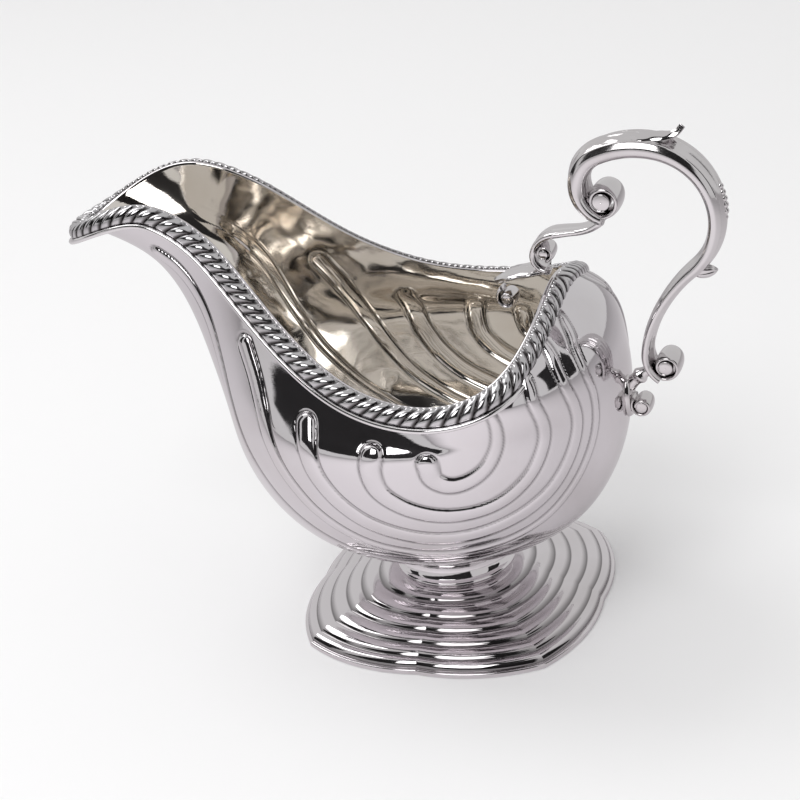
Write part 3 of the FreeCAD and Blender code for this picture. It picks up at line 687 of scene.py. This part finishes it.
def lobed_outline(corner, dent, radius, angles):
    """Distance from the centre to a closed row of arcs between corners and dents."""
    quarter = np.abs((angles % (math.pi / 2)) - math.pi / 4)
    on_corner = np.array((corner, 0.0))
    on_dent = dent * np.array((math.cos(math.pi / 4), math.sin(math.pi / 4)))
    chord = on_dent - on_corner
    half = np.linalg.norm(chord) / 2
    outward = np.array((chord[1], -chord[0])) / np.linalg.norm(chord)
    centre = (on_corner + on_dent) / 2 - outward * math.sqrt(radius ** 2 - half ** 2)
    way = np.stack([np.cos(quarter), np.sin(quarter)], axis=1) @ centre
    return way + np.sqrt(way ** 2 - centre @ centre + radius ** 2)


def ring_around(reach, level, angles):
    """A level ring of points round the foot's middle."""
    levels = np.broadcast_to(level, angles.shape)
    return np.stack([reach * np.cos(angles), reach * np.sin(angles), levels], axis=1)


def closed_band(rings):
    """A closed shape from rings round the centre that come back to where they start."""
    grid = np.array(rings)
    return grid.reshape(-1, 3), grid_quads(grid.shape[0], grid.shape[1], True, True), np.zeros((0, 3), int)


def make_foot_dome(angles):
    """The ribbed dome, hollow below, with painted shade along each groove."""
    rings = []
    groove_shade = []
    for (outer, low), (inner, high) in zip(FOOT_RIBS[:-1], FOOT_RIBS[1:]):
        for part in np.linspace(0, 1, 12, endpoint=False):
            share = outer + (inner - outer) * part
            rounded = math.sqrt(1 - (1 - part) ** 2.6)
            level = low + (high - low) * (0.3 * part + 0.7 * rounded) + 0.3 * math.sin(math.pi * part)
            rings.append(ring_around(foot_reach(share, angles), level, angles))
            # Painted shade, darkest at the groove where each rib starts.
            groove_shade.append(0.75 * max(0.0, 1 - part / 0.3))
    rings.append(ring_around(foot_reach(0, angles), DOME_TOP, angles))
    for share, level in ((0.0, DOME_TOP - 0.2), (0.0, 10.6), (0.5, 5.6), (0.97, EDGE_THICK)):
        rings.append(ring_around(foot_reach(share, angles) - FOOT_WALL, level, angles))
    rings.append(ring_around(foot_reach(1, angles), EDGE_THICK, angles))
    piece = build("foot_dome", [closed_band(rings)], FOOT_SILVER)
    painted_shade = np.zeros((len(rings), len(angles)))
    painted_shade[:len(groove_shade)] = np.array(groove_shade)[:, None]
    paint_shade(piece, painted_shade)


def make_foot_edge(angles):
    """The flat strip that the boat stands on, with softened outer corners."""
    reach = lobed_outline(FOOT_CORNER, FOOT_DENT, FOOT_LOBE_RADIUS, angles)
    soft = 0.35
    section = ((3.3, 0.0), (soft, 0.0), (0.1, 0.1), (0.0, soft), (0.0, EDGE_THICK - soft),
               (0.1, EDGE_THICK - 0.1), (soft, EDGE_THICK), (1.6, EDGE_THICK), (3.3, EDGE_THICK))
    rings = [ring_around(reach - inset, level, angles) for inset, level in section]
    build("foot_edge_strip", [closed_band(rings)], FOOT_SILVER)


def make_foot_collet(angles):
    """The waisted collet between foot and bowl, with a bead near each end."""
    levels = np.linspace(DOME_TOP, BOWL_BASE, 30)
    part = (levels - DOME_TOP) / (BOWL_BASE - DOME_TOP)
    straight = COLLET_FOOT + (COLLET_HEAD - COLLET_FOOT) * part
    hollow = straight - 4 * (COLLET_FOOT - COLLET_WAIST) * 0.95 * part * (1 - part)
    bead = 0.5 * np.exp(-((part - 0.07) / 0.05) ** 2) + 0.35 * np.exp(-((part - 0.95) / 0.04) ** 2)
    outside = list(zip(hollow + bead, levels))
    inside = list(zip(hollow[::-1] - FOOT_WALL, levels[::-1]))
    rings = [ring_around(np.full(len(angles), reach), level, angles) for reach, level in outside + inside]
    build("foot_collet", [closed_band(rings)], FOOT_SILVER)


def make_foot():
    """The dome, the strip round its edge and the collet."""
    angles = np.linspace(0, 2 * math.pi, FOOT_STEPS, endpoint=False)
    make_foot_dome(angles)
    make_foot_edge(angles)
    make_foot_collet(np.linspace(0, 2 * math.pi, COLLET_STEPS, endpoint=False))


# ---------------------------------------------------------------- handle

def strap_grid(line, wide, thick, shape, count=72):
    """Rings across a path in the middle plane; shape gives the outer and inner faces' profiles."""
    run = tangents(line)
    out = np.stack([-run[:, 1], run[:, 0]], axis=1)
    turn = np.linspace(0, 2 * math.pi, count, endpoint=False)
    side = np.cos(turn)
    lift = shape(side, np.sin(turn))
    rings = np.empty((len(line), count, 3))
    rings[:, :, 0] = line[:, None, 0] + out[:, None, 0] * lift * thick[:, None] / 2
    rings[:, :, 1] = side * wide[:, None] / 2
    rings[:, :, 2] = line[:, None, 1] + out[:, None, 1] * lift * thick[:, None] / 2
    return rings


def ridged(side, lift):
    """A strap with a raised rib and rolled edges outside, and reeds along its inner face."""
    outer = np.abs(lift) ** 0.8 * (0.72 + 0.34 * np.exp(-(side / 0.30) ** 2)) \
        + 0.24 * np.exp(-((np.abs(side) - 0.80) / 0.11) ** 2)
    inner = np.abs(lift) ** 0.5 * (0.78 + 0.16 * np.abs(np.cos(2.5 * math.pi * side)))
    return np.where(lift >= 0, outer, -inner)


def rounded(side, lift):
    """A plain rounded strap."""
    return np.sign(lift) * np.abs(lift) ** 0.8


def channelled(side, lift):
    """A strap hollowed a little down its middle, both sides."""
    return np.sign(lift) * np.abs(lift) ** 0.6 * (1 - 0.35 * np.exp(-(side / 0.45) ** 2))


def spiral(centre, start, turns, first, last, count=140):
    """A spiral line round a centre; positive turns go anticlockwise as seen from the left."""
    part = np.linspace(0, 1, count)
    angle = math.radians(start) + 2 * math.pi * turns * part
    radius = last + (first - last) * (1 - part) ** 1.15
    return np.stack([centre[0] + radius * np.cos(angle), centre[1] + radius * np.sin(angle)], axis=1)


def volute(name, centre, start, turns, first, last, wide, thick):
    """A rolled-up end of strap round a solid barrel with gently domed ends."""
    line = spiral(centre, start, turns, first, last)
    widths = mix((wide * 0.84, wide * 0.92, wide), len(line))
    thicks = mix((thick, thick, thick * 0.8), len(line))
    roll = tube_mesh(strap_grid(line, widths, thicks, rounded, 40))
    half = wide / 2
    core = last * 1.02
    barrel = lathe(((0.0, -half * 0.97), (core * 0.45, -half * 0.96), (core * 0.85, -half * 0.93),
                    (core, -half * 0.84), (core, 0.0), (core, half * 0.84), (core * 0.85, half * 0.93),
                    (core * 0.45, half * 0.96), (0.0, half * 0.97)))
    points = barrel[0][:, [0, 2, 1]] + np.array((centre[0], 0, centre[1]))
    casting(name, [roll, (points, barrel[1], barrel[2])])


def lathe(profile, lobes=0, depth=0.0, count=48):
    """A turned shape about the upright axis from radius and height, perhaps with lobes round it."""
    rows = smooth_line(profile, 60)
    turn = np.linspace(0, 2 * math.pi, count, endpoint=False)
    swell = 1 + depth * (np.abs(np.cos(turn * lobes / 2)) - 0.5) if lobes else np.ones(count)
    radius = np.abs(rows[:, 0])[:, None] * swell[None]
    levels = np.broadcast_to(rows[:, 1:], radius.shape)
    return tube_mesh(np.stack([radius * np.cos(turn), radius * np.sin(turn), levels], axis=2))


def leaf_grid(line, half_widths, thick, crown, veins):
    """A leaf laid along a path: pointed ends, a raised middle vein and side veins."""
    run = tangents(line)
    out = np.stack([-run[:, 1], run[:, 0]], axis=1)
    count = len(line)
    wide = mix(half_widths, count).clip(0.15)
    side = np.concatenate([np.linspace(-1, 1, 33), np.linspace(1, -1, 12)[1:-1]])
    upper = np.arange(len(side)) < 33
    along = np.arange(count) / (count - 1)
    vein = 0.035 * np.cos(2 * math.pi * (along[:, None] * veins - np.abs(side)[None] * 1.2))
    ridge = 0.30 * np.exp(-(side / 0.16) ** 2)
    bend = -crown * side ** 2
    edge = np.sqrt(np.clip(1 - np.abs(side) ** 6, 0, 1))
    taper = np.clip((1 - along) / 0.16, 0.3, 1)[:, None]
    lift = np.where(upper, bend[None] + (thick + ridge[None] + vein) * edge[None] * taper, bend[None])
    ripple = 1 + 0.05 * np.cos(2 * math.pi * along * veins)
    grid = np.empty((count, len(side), 3))
    grid[:, :, 0] = line[:, None, 0] + out[:, None, 0] * lift
    grid[:, :, 1] = side * (wide * ripple)[:, None]
    grid[:, :, 2] = line[:, None, 1] + out[:, None, 1] * lift
    return grid


def casting(name, parts):
    """One of the handle's castings."""
    build(name, parts, CAST_SILVER)


def make_straps():
    """The main scroll, the flying scroll and the strut."""
    line = even_steps(arc_path(MAIN_PATH, (-1.0, 0.35)), 420)
    wide = mix((12.5, 9.5), len(line))
    thick = mix((3.6, 6.0, 6.2, 5.2, 4.6, 3.8, 3.2, 2.8), len(line))
    casting("handle_main_scroll", [tube_mesh(strap_grid(line, wide, thick, ridged))])
    line = even_steps(arc_path(FLYING_PATH, (-0.6, -0.55)), 160)
    wide = mix((8.0, 6.4, 7.4, 6.0, 7.5), len(line))
    thick = mix((2.6, 2.2, 2.4, 2.2, 2.4), len(line))
    casting("handle_flying_scroll", [tube_mesh(strap_grid(line, wide, thick, channelled))])
    line = even_steps(arc_path(STRUT_PATH, (-1.0, -0.1)), 60)
    share = np.linspace(0, 1, len(line))
    girth = 3.0 + 1.4 * np.exp(-((share - 0.5) / 0.12) ** 2) + 1.2 * share ** 3
    casting("handle_strut", [tube_mesh(strap_grid(line, girth, girth, rounded, 32))])


def make_volutes():
    """Each roll: centre, where it starts in degrees, turns, outer and inner radius, width and thickness."""
    volute("handle_upper_volute", (53.4, 126.6), -95, 1.05, 4.4, 2.3, 10.6, 2.0)
    volute("handle_small_curl", (36.2, 111.2), -80, 1.0, 2.3, 1.2, 7.4, 1.3)
    volute("handle_lower_volute", (67.4, 79.2), -110, 1.05, 3.7, 1.9, 9.6, 1.7)
    volute("handle_inner_volute", (24.6, 97.6), 120, 1.1, 2.9, 1.4, 6.2, 1.4)
    volute("handle_strut_scroll", (59.8, 66.4), 140, 1.1, 2.9, 1.6, 7.0, 1.5)


def make_leaves():
    """The leaf over the top of the handle and the leaf over the rim."""
    cap_line = smooth_line(LEAF_CAP_PATH, 180)
    cap_leaf = leaf_grid(cap_line, (3.0, 4.6, 5.2, 5.0, 4.4, 3.6, 2.4, 0.3), 0.7, 1.3, 7)
    casting("handle_leaf_cap", [tube_mesh(cap_leaf)])
    rim_line = smooth_line(RIM_LEAF_PATH, 90)
    rim_leaf = leaf_grid(rim_line, (0.6, 4.2, 4.9, 4.4, 2.6), 0.9, 0.5, 3)
    casting("handle_rim_leaf", [tube_mesh(rim_leaf)])


def make_bud():
    """A small lobed bud that leans out from the back of the handle."""
    profile = ((0.0, -3.1), (1.2, -2.9), (1.75, -1.4), (1.7, 0.4), (1.1, 2.0), (0.35, 2.9), (0.0, 3.1))
    points, quads, triangles = lathe(profile, 6, 0.18)
    turn = np.array(Matrix.Rotation(BUD_LEAN, 3, "Y"))
    casting("handle_bud", [(points @ turn.T + np.array(BUD_AT), quads, triangles)])


def make_beads():
    """Beads down the handle's back, largest in the middle."""
    beads = []
    middle = (BEADS_COUNT - 1) / 2
    for index in range(BEADS_COUNT):
        radius = 1.2 * (1 - 0.25 * abs(index - middle) / middle)
        angle = math.radians(BEADS_FIRST - BEADS_SWEEP * index / (BEADS_COUNT - 1))
        points, quads, triangles = lathe(((0.0, -radius), (radius * 0.7, -radius * 0.7), (radius, 0.0),
                                          (radius * 0.7, radius * 0.7), (0.0, radius)), count=24)
        at = np.array((BEADS_CENTRE[0] + BEADS_RADIUS * math.cos(angle), 0,
                       BEADS_CENTRE[1] + BEADS_RADIUS * math.sin(angle)))
        beads.append((points + at, quads, triangles))
    casting("handle_bead_row", beads)


def make_plate():
    """The moulded oval plate on the bowl behind the strut: share of its size, then reach along X."""
    moulding = ((0.0, 57.1), (0.45, 57.2), (0.70, 56.7), (0.86, 57.0), (0.97, 56.6), (1.0, 55.6),
                (0.6, 55.4))
    rows = smooth_line(moulding, 40)
    turn = np.linspace(0, 2 * math.pi, 64, endpoint=False)
    sideways = rows[:, :1] * PLATE_HALF_WIDE * np.cos(turn)
    upward = PLATE_LEVEL + rows[:, :1] * PLATE_HALF_HIGH * np.sin(turn)
    reach = np.broadcast_to(rows[:, 1:], upward.shape)
    casting("handle_back_plate", [tube_mesh(np.stack([reach, sideways, upward], axis=2))])


# ---------------------------------------------------------------- stage, light and camera

def stage_plane(name, width, height, place, turn, material):
    """A flat card or floor that isn't part of the object."""
    mesh = bpy.data.meshes.new(name)
    signs = ((-1, -1), (1, -1), (1, 1), (-1, 1))
    corners = [(width / 2 * across, height / 2 * along, 0) for across, along in signs]
    mesh.from_pydata(corners, [], [(0, 1, 2, 3)])
    mesh.materials.append(material)
    card = bpy.data.objects.new(name, mesh)
    card.location = place
    card.rotation_euler = turn
    bpy.context.scene.collection.objects.link(card)
    return card


def look_at(place, target):
    """The turn that points a lamp at a target."""
    return (Vector(target) - Vector(place)).to_track_quat("-Z", "Y").to_euler()


def softbox(name, place, target, width, height, power):
    """A soft rectangular lamp turned towards a target."""
    light = bpy.data.lights.new(name, "AREA")
    light.shape = "RECTANGLE"
    light.size = width
    light.size_y = height
    light.energy = power
    lamp = bpy.data.objects.new(name, light)
    lamp.location = place
    lamp.rotation_euler = look_at(place, target)
    bpy.context.scene.collection.objects.link(lamp)


def make_world():
    """A pale, even room."""
    world = bpy.data.worlds.new("Room")
    bpy.context.scene.world = world
    world.use_nodes = True
    back = world.node_tree.nodes["Background"]
    back.inputs["Color"].default_value = (1.0, 0.995, 0.99, 1.0)
    back.inputs["Strength"].default_value = 0.70


def make_camera():
    """A plain camera at the photograph's viewing angle."""
    data = bpy.data.cameras.new("Camera")
    data.lens = CAMERA_LENS
    data.sensor_width = 36.0
    data.clip_start = 0.01
    camera = bpy.data.objects.new("Camera", data)
    bpy.context.scene.collection.objects.link(camera)
    aim = (Vector(CAMERA_AIM) - Vector(CAMERA_AT)).to_track_quat("-Z", "Y").to_matrix().to_4x4()
    camera.matrix_world = Matrix.Translation(CAMERA_AT) @ aim @ Matrix.Rotation(CAMERA_LEAN, 4, "Z")
    bpy.context.scene.camera = camera


def shaded_floor():
    """Painted shade on the floor that the silver mirrors: pale near the boat and greyer further off."""
    material = plain("floor_mirrored_painted_shade", (0.5, 0.5, 0.5), 0.9)
    tree = material.node_tree
    far = node(tree, "ShaderNodeVectorMath", operation="LENGTH")
    tree.links.new(node(tree, "ShaderNodeTexCoord").outputs["Object"], far.inputs[0])
    ramp = node(tree, "ShaderNodeValToRGB").color_ramp
    for where, level in ((0.10, 0.88), (0.32, 0.68), (0.60, 0.54), (0.95, 0.50)):
        stop = ramp.elements.new(where)
        stop.color = (level, level * 0.965, level * 0.99, 1.0)
    ramp.elements.remove(ramp.elements[0])
    ramp.elements.remove(ramp.elements[-1])
    tree.links.new(far.outputs["Value"], tree.nodes["Color Ramp"].inputs["Fac"])
    shader = tree.nodes["Principled BSDF"]
    tree.links.new(tree.nodes["Color Ramp"].outputs["Color"], shader.inputs["Base Color"])
    return material


def mirrored_only(card):
    """A card that only polished surfaces see: it casts no shadow and no view shows it."""
    card.visible_camera = False
    card.visible_diffuse = False
    card.visible_shadow = False


def make_stage():
    """A white floor and two soft lamps, with dark cards and a floor with painted shade for the silver to
    mirror.
    """
    sideways = (math.pi / 2, 0, math.pi / 2)
    black = plain("card_black", (0.012, 0.011, 0.012), 0.9)
    stage_plane("floor", 8.0, 8.0, (0, 0, 0), (0, 0, 0), plain("floor_white", (0.90, 0.90, 0.905), 0.7))
    # A copy of the floor with painted shade, seen only in the silver's reflections.
    mirrored_only(stage_plane("floor_mirrored_painted_shade", 8.0, 8.0, (0.0, -0.22, 0.0004), (0, 0, 0), shaded_floor()))
    leaning = (math.pi / 2, math.radians(10), 0)
    mirrored_only(stage_plane("card_camera_side", 3.1, 2.8, (-0.15, -1.25, 1.66), leaning, black))
    mirrored_only(stage_plane("card_right", 0.6, 1.2, (1.2, 0.1, 0.75), sideways, black))
    mirrored_only(stage_plane("card_left", 0.5, 1.0, (-1.2, -0.3, 0.6), sideways, black))
    mirrored_only(stage_plane("card_overhead", 1.3, 0.55, (0.1, -0.55, 1.9), (0, 0, 0), black))
    softbox("window", (-0.12, -0.95, 1.15), (0, 0, 0.05), 0.7, 0.9, 7)
    softbox("key", (-0.9, 0.3, 1.3), (0, 0, 0.05), 0.8, 0.8, 5.5)


make_bowl()
make_rim()
make_foot()
make_straps()
make_volutes()
make_leaves()
make_bud()
make_beads()
make_plate()
make_world()
make_stage()
make_camera()

bpy.context.scene.view_settings.view_transform = "Standard"
bpy.context.view_layer.update()
